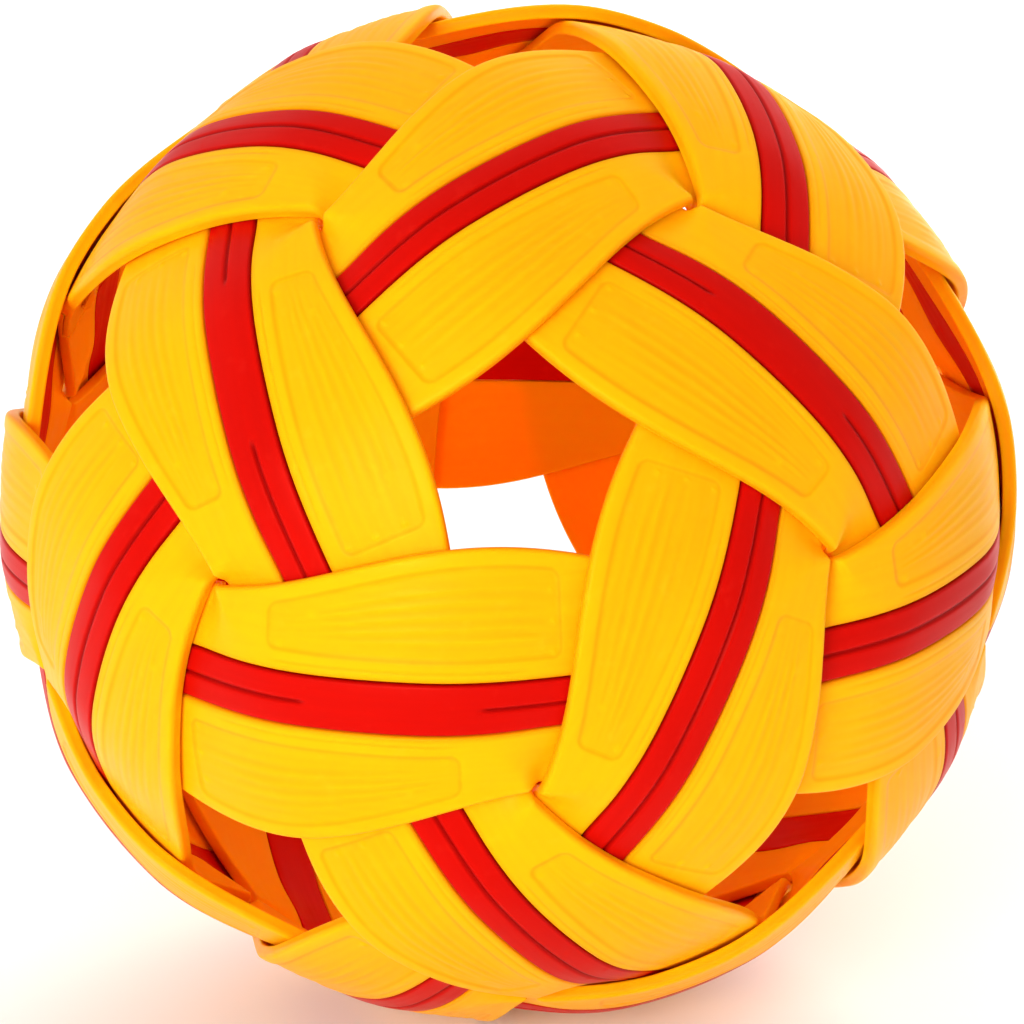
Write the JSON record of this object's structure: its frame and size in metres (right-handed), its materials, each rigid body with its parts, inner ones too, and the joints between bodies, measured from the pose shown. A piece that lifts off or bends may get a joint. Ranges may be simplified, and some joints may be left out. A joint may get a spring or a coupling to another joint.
{
  "type": "woven plastic ball",
  "caption": "Hollow ball woven from interlaced plastic hoops, each of parallel strips, with rounded pentagonal holes between them.",
  "frame": {"origin": "centre of the ball", "axes": "+Z along the axis of hoop_1, through the middle of the top and bottom holes; +X through the middle of a crossing on that hoop; the front hole leans up from -Y"},
  "size_m": [0.133, 0.1326, 0.131],
  "materials": {
    "yellow_plastic": "semi-gloss",
    "red_plastic": "semi-gloss"
  },
  "bodies": {
    "root": {"hoop_1_middle_strip": "red_plastic", "hoop_1_middle_rivet": "red_plastic", "hoop_1_upper_strip": "yellow_plastic", "hoop_1_upper_rivet": "yellow_plastic", "hoop_1_lower_strip": "yellow_plastic", "hoop_1_lower_rivet": "yellow_plastic", "hoop_2_middle_strip": "red_plastic", "hoop_2_middle_rivet": "red_plastic", "hoop_2_upper_strip": "yellow_plastic", "hoop_2_upper_rivet": "yellow_plastic", "hoop_2_lower_strip": "yellow_plastic", "hoop_2_lower_rivet": "yellow_plastic", "hoop_3_middle_strip": "red_plastic", "hoop_3_middle_rivet": "red_plastic", "hoop_3_upper_strip": "yellow_plastic", "hoop_3_upper_rivet": "yellow_plastic", "hoop_3_lower_strip": "yellow_plastic", "hoop_3_lower_rivet": "yellow_plastic", "hoop_4_middle_strip": "red_plastic", "hoop_4_middle_rivet": "red_plastic", "hoop_4_upper_strip": "yellow_plastic", "hoop_4_upper_rivet": "yellow_plastic", "hoop_4_lower_strip": "yellow_plastic", "hoop_4_lower_rivet": "yellow_plastic", "hoop_5_middle_strip": "red_plastic", "hoop_5_middle_rivet": "red_plastic", "hoop_5_upper_strip": "yellow_plastic", "hoop_5_upper_rivet": "yellow_plastic", "hoop_5_lower_strip": "yellow_plastic", "hoop_5_lower_rivet": "yellow_plastic", "hoop_6_middle_strip": "red_plastic", "hoop_6_middle_rivet": "red_plastic", "hoop_6_upper_strip": "yellow_plastic", "hoop_6_upper_rivet": "yellow_plastic", "hoop_6_lower_strip": "yellow_plastic", "hoop_6_lower_rivet": "yellow_plastic"}
  },
  "joints": []
}
